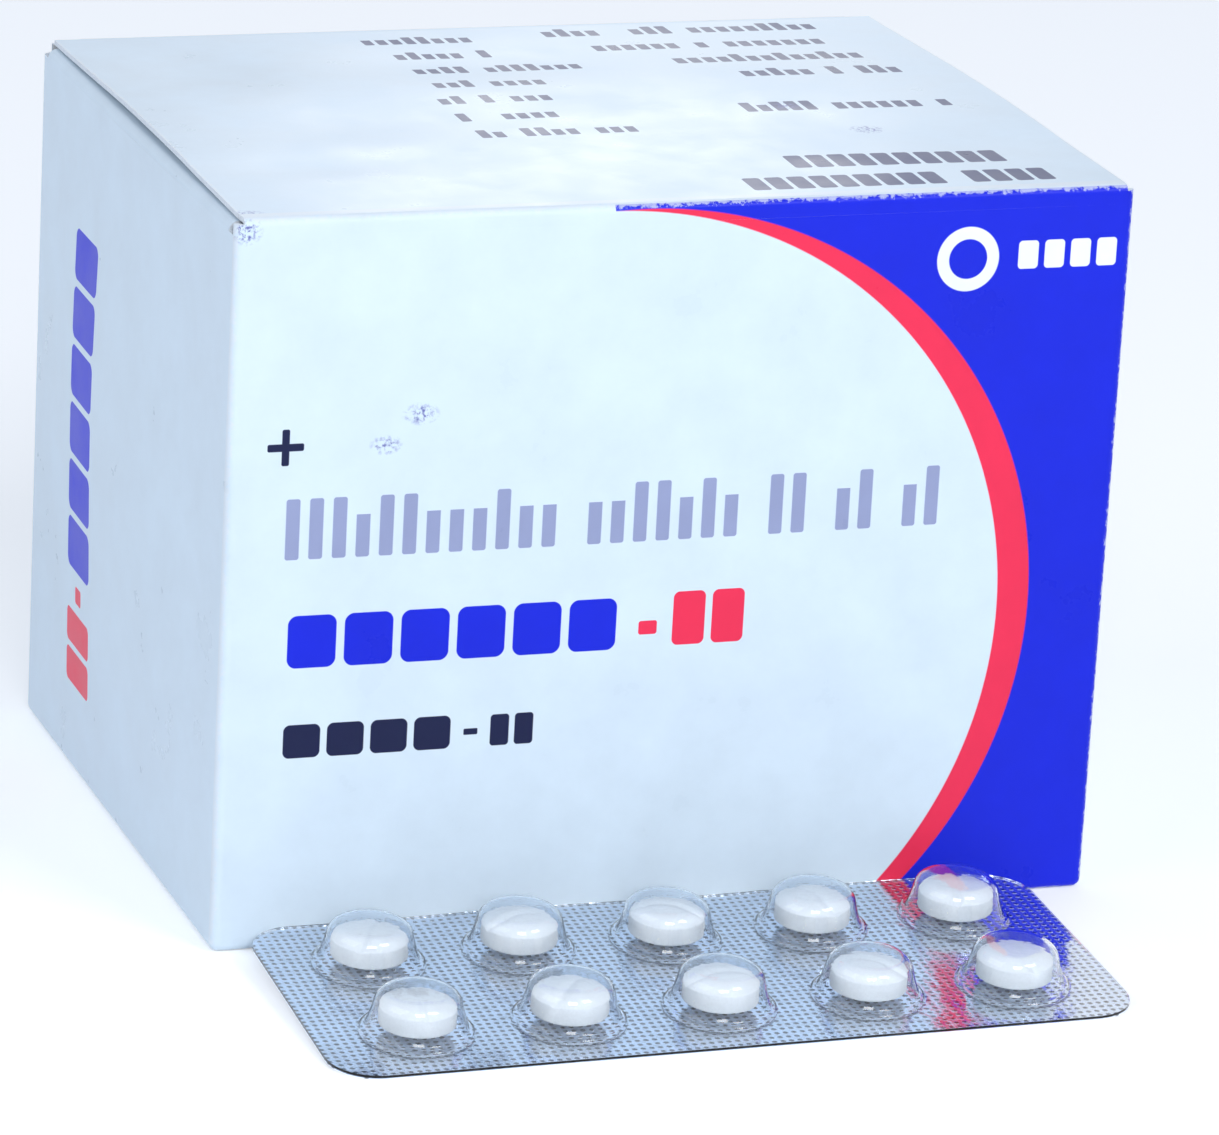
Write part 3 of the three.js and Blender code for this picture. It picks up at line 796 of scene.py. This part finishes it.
def lid_material():
    """White lid with small rows of grey-blue blocks where the fine print runs, and smudges."""
    material, tree = new_material("printed_coated_board_lid")
    place, x, y, _ = coordinates(tree)
    plane = add(tree, "CombineXYZ", {}, x, y, 0.0)
    colour = linear(CARD_WHITE)
    for seed, (origin, pitch, block, rows, empty, short) in enumerate(LID_PRINT):
        start = (origin[0], FRONT + origin[1])
        cell = pitch[0]
        whole = [(cell * round(a / cell), cell * round(b / cell), d) for a, b, d in rows]
        spans = [(((a + b) / 2, FRONT + d), ((b - a) / 2, pitch[1] / 2.1)) for a, b, d in whole]
        mask = type_blocks(tree, plane, start, pitch, block, spans, empty, short,
                           LID_SEED_STEP * seed)
        colour = add(tree, "MixRGB", {}, mask, colour, linear(TYPE_INK))
    masks = [blot(tree, place, plane, centre, radii) for centre, radii in LID_SMUDGES]
    colour = add(tree, "MixRGB", {}, either(tree, masks), colour, linear(INK_SMUDGE))
    away = add(tree, "Math", {"operation": "SUBTRACT"}, LID_HALF,
               add(tree, "Math", {"operation": "ABSOLUTE"}, x))
    coated_board(tree, place, rubbed(tree, colour, place, away, LID_RUB_REACH))
    return material


lid_finishes = [lid_material(), board_inside, board_edge]
lid = piece("lid_and_tuck", lid_faces(), lid_finishes, "lid")
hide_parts("carton_lid")

# Strip foil: rolled aluminium foil, sealed under the film by a knurled plate that leaves a fine square
# grid of points. It mirrors the pale room, and the carton's red and blue at its rear right.
STRIP_LENGTH = 85.0
STRIP_WIDTH = 35.0
STRIP_CORNER = 5.0
STRIP_SHIFT = -2.5
STRIP_RISE = 2.0
STRIP_GAP = 0.3
STRIP_FLEX = 0.22
FLEX_ACROSS = 6.1
FLEX_ALONG = 9.0
FOIL = 0.1
FOIL_STEPS = 121
FOIL_ROWS = 37
FOIL_DULLNESS = (0.10, 0.2)
KNURL_PITCH = 0.9
KNURL_EDGE = (0.3, 0.75)
# painted shade: the share of the foil's colour left on the tops of the knurl's points
KNURL_PAINTED_SHADE = 0.3
FOIL_COLOUR = "#ECF3FE"
TILT = math.asin(STRIP_RISE / STRIP_WIDTH)


def laid(x, y, z):
    """The loose strip's place: turned up by its tilt, its rear edge just off the carton's front."""
    start = FRONT - STRIP_GAP - STRIP_WIDTH * math.cos(TILT)
    turned_y = y * math.cos(TILT) - z * math.sin(TILT) + start
    return np.stack([x + STRIP_SHIFT, turned_y, y * math.sin(TILT) + z * math.cos(TILT)], axis=-1)


def flex(x, y):
    """Gentle waves of the sealed strip: crossed sines that grow from the front edge backwards."""
    return STRIP_FLEX * (y / STRIP_WIDTH) * (1 + np.sin(x / FLEX_ACROSS + 0.6)
                                            * np.cos(y / FLEX_ALONG + 0.4))


def foil_faces(place):
    """x in sine steps; y spans what the rounded corners leave of the width at that x."""
    def shape(x, share):
        past = np.clip(np.abs(x) - (STRIP_LENGTH / 2 - STRIP_CORNER), 0, STRIP_CORNER)
        cut = STRIP_CORNER - np.sqrt(STRIP_CORNER ** 2 - past ** 2)
        y = cut + (STRIP_WIDTH - 2 * cut) * share
        return place(x, y, FOIL + flex(x, y))

    across = STRIP_LENGTH / 2 * np.sin(np.linspace(-ARC, ARC, FOIL_STEPS))
    points, normal = skin(across, np.linspace(0, 1, FOIL_ROWS), shape)
    return board_faces(points, normal, outer=0, inner=0, edge=0, thickness=FOIL)


def foil_material():
    """Bright side of rolled foil. The plate's points are drawn 0.9 mm apart, coarse enough to show:
    the product of two raised sines, over a level, is embossed, and darkens the colour there as painted
    shade."""
    material, tree = new_material("knurled_aluminium_foil")
    place, x, y, _ = coordinates(tree)
    waves = []
    for axis in (x, y):
        angle = add(tree, "Math", {"operation": "MULTIPLY"}, axis, 2 * math.pi / KNURL_PITCH)
        wave = add(tree, "Math", {"operation": "SINE"}, angle)
        waves.append(add(tree, "Math", {"operation": "MULTIPLY_ADD"}, wave, 0.5, 0.5))
    points = add(tree, "Math", {"operation": "MULTIPLY"}, *waves)
    pressed = add(tree, "MapRange", {}, points, *KNURL_EDGE, 0.0, 1.0)
    relief = add(tree, "Bump", {}, Strength=1.0, Distance=0.00012, Height=pressed)
    cloud = add(tree, "TexNoise", {}, Vector=place, Scale=0.25, Detail=4.0)
    creased = add(tree, "Bump", {}, Strength=0.3, Distance=0.0004, Height=cloud, Normal=relief)
    # Painted shade: the foil's colour is darkened on the knurl's points, standing in for the shading of
    # their relief.
    shade = add(tree, "MapRange", {}, pressed, 0.0, 1.0, 1.0, KNURL_PAINTED_SHADE)
    tone = add(tree, "MixRGB", {"blend_type": "MULTIPLY"}, 1.0, linear(FOIL_COLOUR), shade)
    dull = add(tree, "MapRange", {}, cloud, *NOISE_SPAN, *FOIL_DULLNESS)
    add(tree, "OutputMaterial", {}, add(tree, "BsdfPrincipled", {}, Base_Color=tone, Metallic=1.0,
                                        Roughness=dull, Normal=creased))
    return material


knurled_foil = foil_material()
loose_foil = piece("loose_strip_sealed_foil", foil_faces(laid), [knurled_foil],
                   "carton")
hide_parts("loose_strip_foil")

# Strip film: clear hard vinyl, heated and drawn into ten round pockets, then sealed to the foil. Each
# pocket has a soft crown, leaning walls and a low flange ring where the seal begins.
COLUMN_PITCH = 15.9
ROW_PITCH = 16.4
FILM = 0.25
SEAL_GAP = 0.05
FILM_FOOT = FOIL + SEAL_GAP
FILM_TINT = "#F6FAFF"
POCKET_STEPS = 72
POCKET_TOP = 4.70
SHOULDER_RADIUS = 1.5
SHOULDER_CENTRE = (2.95, 3.06)
NEARLY_ZERO = 1e-9
ON_OUTLINE = 1e-6
ROWS = 2
COLUMNS = 5
POCKETS = [((column - 2) * COLUMN_PITCH, STRIP_WIDTH / 2 + (row - 0.5) * ROW_PITCH)
           for row in range(ROWS) for column in range(COLUMNS)]


def pocket_profile():
    """Outer half profile as (radius, height): crown, shoulder arc, leaning wall, foot and flange."""
    crown = [(r, POCKET_TOP - 0.13 * (r / 3) ** 2) for r in np.linspace(0, 2.9, 7)]
    shoulder = [(SHOULDER_CENTRE[0] + SHOULDER_RADIUS * math.sin(a),
                 SHOULDER_CENTRE[1] + SHOULDER_RADIUS * math.cos(a))
                for a in np.linspace(0.12, 1.4, 8)]
    wall = [(4.62, 2.5), (4.84, 1.75), (5.05, 1.12)]
    foot = [(5.17, 0.84), (5.30, 0.68), (5.46, 0.62), (5.62, 0.58), (5.74, 0.47), (5.82, 0.34),
            (5.92, 0.27), (6.05, FILM)]
    return np.array(crown + shoulder + wall + foot)


def cell_reach(centre, low, high, angle):
    """Distance from a pocket's centre to its cell's border: two edges, or the sheet's round corner."""
    ahead = np.stack([np.cos(angle), np.sin(angle)], axis=-1)
    edge = np.where(ahead > 0, high - centre, low - centre)
    reach = np.min(edge / np.where(np.abs(ahead) < NEARLY_ZERO, NEARLY_ZERO, ahead), axis=-1)
    hit = centre + reach[:, None] * ahead
    middle = np.array([0, STRIP_WIDTH / 2])
    core = np.array([STRIP_LENGTH / 2 - STRIP_CORNER, STRIP_WIDTH / 2 - STRIP_CORNER])
    in_corner = (np.abs(hit - middle) > core).all(axis=1)
    offset = centre - (middle + np.sign(hit - middle) * core)
    along = (offset * ahead).sum(axis=1)
    square = np.maximum(along ** 2 - (offset ** 2).sum(axis=1) + STRIP_CORNER ** 2, 0)
    return np.where(in_corner, -along + np.sqrt(square), reach)


def film_faces(place):
    """Each pocket on a polar grid out to its cell's border, with an outer and an inner skin.

    Rings follow the profile and then spread evenly to the border. The inner skin lies one film inside
    the profile. Both are closed by a wall where the border is the sheet's own outline.
    """
    profile = pocket_profile()
    slope = np.gradient(profile, axis=0)
    normal = np.stack([-slope[:, 1], slope[:, 0]], axis=1)
    normal[0], normal[-1] = (0, 1), (0, 1)
    inner = profile - FILM * normal / np.linalg.norm(normal, axis=1, keepdims=True)
    spread = np.linspace(0, 1, 5)[1:]
    middle = STRIP_WIDTH / 2
    faces = []
    for number, centre in enumerate(np.array(POCKETS)):
        row, column = divmod(number, COLUMNS)
        left = centre[0] - COLUMN_PITCH / 2 if column else -STRIP_LENGTH / 2
        right = centre[0] + COLUMN_PITCH / 2 if column < COLUMNS - 1 else STRIP_LENGTH / 2
        low, high = np.array([left, row * middle]), np.array([right, (row + 1) * middle])
        corners = [math.atan2(y - centre[1], x - centre[0]) % (2 * math.pi)
                   for x in (low[0], high[0]) for y in (low[1], high[1])]
        even = (np.arange(POCKET_STEPS) + 0.5) * 4 * ARC / POCKET_STEPS
        angle = np.sort(np.concatenate([even, corners]))
        angle = np.append(angle, angle[0] + 4 * ARC)
        reach = cell_reach(centre, low, high, angle)
        rims = []
        for line, sheet_level, group in ((profile, FILM, "outer"), (inner, 0.0, "inner")):
            outwards = line[-1, 0] + (reach - line[-1, 0]) * spread[:, None]
            rings = np.repeat(line[:, :1], len(angle), axis=1)
            heights = np.repeat(line[:, 1:], len(angle), axis=1)
            radius = np.concatenate([rings, outwards])
            level = np.concatenate([heights, np.full_like(outwards, sheet_level)])
            x, y = centre[0] + radius * np.cos(angle), centre[1] + radius * np.sin(angle)
            grid = place(x, y, FILM_FOOT + level + flex(x, y))
            faces.append((grid[::-1] if group == "outer" else grid, 0, group))
            rims.append(grid[-1, :-1])
        edge_x = np.abs(centre[0] + reach * np.cos(angle))[:-1]
        edge_y = np.abs(centre[1] + reach * np.sin(angle) - middle)[:-1]
        round_corner = (edge_x > STRIP_LENGTH / 2 - STRIP_CORNER) & (edge_y > middle - STRIP_CORNER)
        at_edge = (edge_x > STRIP_LENGTH / 2 - ON_OUTLINE) | (edge_y > middle - ON_OUTLINE)
        outline = at_edge | round_corner
        first = int(np.argmin(outline))
        wall = np.roll(np.stack(rims[::-1]), -first, axis=1)
        faces.append((wall[:, np.roll(outline, -first)], 0, None))
    return faces


def film_material():
    """Clear rigid vinyl film: glassy, near colourless, with a faint drawn unevenness in its gloss."""
    material, tree = new_material("clear_vinyl_film")
    place = coordinates(tree)[0]
    drawn = add(tree, "TexNoise", {}, Vector=place, Scale=0.5, Detail=3.0)
    relief = add(tree, "Bump", {}, Strength=0.25, Distance=0.0002, Height=drawn)
    shader = add(tree, "BsdfPrincipled", {}, Base_Color=linear(FILM_TINT), Roughness=0.04, IOR=1.42,
                 Transmission_Weight=1.0, Normal=relief)
    add(tree, "OutputMaterial", {}, shader)
    return material


clear_film = film_material()
loose_film = piece("loose_strip_formed_film", film_faces(laid), [clear_film],
                   "carton")
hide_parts("loose_strip_film")

# Tablets: round white tablets, pressed from powder between two dished punches, with a break line across
# the upper face. They lie loose in their pockets, each turned its own way.
TABLET_RADIUS = 3.9
TABLET_THICKNESS = 4.0
TABLET_CROWN = 1.1
LINE_DEPTH = 0.28
LINE_WIDTH = 0.35
BAND_SWELL = 1.032
TABLET_GAP = 0.05
TABLET_SEAT = FILM_FOOT + TABLET_GAP
TABLET_STEPS = 13
TABLET_ROWS = 21
TABLET_WHITE = "#F6FBFE"
LINE_TURN = 137.5


def tablet_faces(number, place):
    """Two dished faces and a band, in steps across and along the break line.

    The upper face's height is the thickness less the crown times (distance from the centre over the
    radius) squared, less a bell-shaped groove. The band's rings run down from it, a little wider.
    """
    turn = math.radians(LINE_TURN * number)
    rim = TABLET_RADIUS / BAND_SWELL
    half = np.sin(np.linspace(0, ARC, TABLET_STEPS)) ** 1.4 * rim
    across = np.concatenate([-half[:0:-1], half])
    centre_x, centre_y = POCKETS[number]

    def height(d, e):
        away = (d ** 2 + e ** 2) / TABLET_RADIUS ** 2
        return TABLET_THICKNESS - TABLET_CROWN * away, LINE_DEPTH * np.exp(-(d / LINE_WIDTH) ** 2)

    def world(d, e, z):
        x = centre_x + d * math.cos(turn) - e * math.sin(turn)
        y = centre_y + d * math.sin(turn) + e * math.cos(turn)
        return place(x, y, TABLET_SEAT + z + flex(centre_x, centre_y))

    d, share = np.meshgrid(across, np.linspace(-1, 1, TABLET_ROWS))
    e = share * np.sqrt(np.maximum(rim ** 2 - d ** 2, 0))
    dome, groove = height(d, e)
    loop_d = np.concatenate([d[0], d[-1, ::-1]])
    loop_e = np.concatenate([e[0], e[-1, ::-1]])
    loop_dome, loop_groove = height(loop_d, loop_e)
    stretch = np.array([1, 1.018, BAND_SWELL, BAND_SWELL, 1.018, 1])[:, None]
    mix = np.array([0, 0.02, 0.08, 0.92, 0.98, 1])[:, None]
    fade = np.array([1, 0.8, 0.4, 0, 0, 0])[:, None]
    band_z = (1 - mix) * loop_dome + mix * (TABLET_THICKNESS - loop_dome) - fade * loop_groove
    band = world(loop_d * stretch, loop_e * stretch, band_z)
    upper, lower = world(d, e, dome - groove), world(d, e, TABLET_THICKNESS - dome)[::-1]
    return [(upper, 0, "outer"), (lower, 0, "outer"), (band[::-1], 0, "outer")]


def tablet_material():
    """Pressed powder: matt, almost white, finely pitted, and a touch darker where it is dusty."""
    material, tree = new_material("pressed_white_tablet")
    place = coordinates(tree)[0]
    grain = add(tree, "TexNoise", {}, Vector=place, Scale=4.0, Detail=4.0, Roughness=0.6)
    shade = add(tree, "MapRange", {}, grain, *NOISE_SPAN, 0.95, 1.02)
    tone = add(tree, "MixRGB", {"blend_type": "MULTIPLY"}, 1.0, linear(TABLET_WHITE), shade)
    relief = add(tree, "Bump", {}, Strength=0.2, Distance=0.0001, Height=grain)
    shader = add(tree, "BsdfPrincipled", {}, Base_Color=tone, Roughness=0.55, Normal=relief)
    add(tree, "OutputMaterial", {}, shader)
    return material


pressed_white = tablet_material()
for number in range(len(POCKETS)):
    name = f"tablet_{number + 1:02d}"
    tablet = piece(f"pressed_{name}", tablet_faces(number, laid), [pressed_white],
                   "carton")
    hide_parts(name)

# Packed strips: the other strips lie flat in two stacks inside the carton. The top one of each stack,
# which shows when the lid is open, is built as finely as the loose one; the rest show only their sides.
STRIP_PITCH = 4.85
STACK_COLOUR = "#D3DAE4"
PACKED_STRIPS = 29
TOP_STRIPS = {"strip_14": "front_stack_top_strip", "strip_29": "rear_stack_top_strip"}


def packed_strip(name, node):
    """Film, foil and ten tablets of one packed strip, level, in the place of its plain solid."""
    low, high = (np.array(corner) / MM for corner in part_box(node))
    shift = (low + high) / 2

    def packed_tablet(x, y, z):
        return np.stack([x + shift[0], y - STRIP_WIDTH / 2 + shift[1], z + low[2]], axis=-1)

    def packed(x, y, z):
        return np.stack([x + shift[0], y - STRIP_WIDTH / 2 + shift[1], z + low[2] - flex(x, y)],
                        axis=-1)

    faces = film_faces(packed)
    faces += [(grid, 1, group and "foil") for grid, _, group in foil_faces(packed)]
    for order in range(len(POCKETS)):
        faces += [(grid, 2, "outer") for grid, _, _ in tablet_faces(order, packed_tablet)]
    made = piece(name, faces, [clear_film, knurled_foil, pressed_white], "carton")
    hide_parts(node)


def stack_material():
    """Sides of a stack: a bright line of foil at the foot of each strip, and hazy film above it."""
    material, tree = new_material("stacked_strip_sides")
    place, _, _, z = coordinates(tree)
    above = add(tree, "Math", {"operation": "SUBTRACT"}, z, 3 * BOARD)
    level = add(tree, "Math", {"operation": "MODULO"}, above, STRIP_PITCH)
    foil = add(tree, "Math", {"operation": "LESS_THAN"}, level, FOIL + FILM)
    haze = add(tree, "TexNoise", {}, Vector=place, Scale=0.3, Detail=4.0)
    shade = add(tree, "MapRange", {}, haze, *NOISE_SPAN, 0.85, 1.05)
    tone = add(tree, "MixRGB", {"blend_type": "MULTIPLY"}, 1.0, linear(STACK_COLOUR), shade)
    tone = add(tree, "MixRGB", {}, foil, tone, linear(FOIL_COLOUR))
    relief = add(tree, "Bump", {}, Strength=0.2, Distance=0.0002, Height=haze)
    add(tree, "OutputMaterial", {}, add(tree, "BsdfPrincipled", {}, Base_Color=tone, Metallic=foil,
                                        Roughness=0.25, Normal=relief))
    return material


for node, name in TOP_STRIPS.items():
    packed_strip(name, node)
stack_sides = stack_material()
for number in range(1, PACKED_STRIPS + 1):
    node = f"strip_{number:02d}"
    if node not in TOP_STRIPS:
        solid = frame["nodes"][node]
        solid.data.materials.clear()
        solid.data.materials.append(stack_sides)
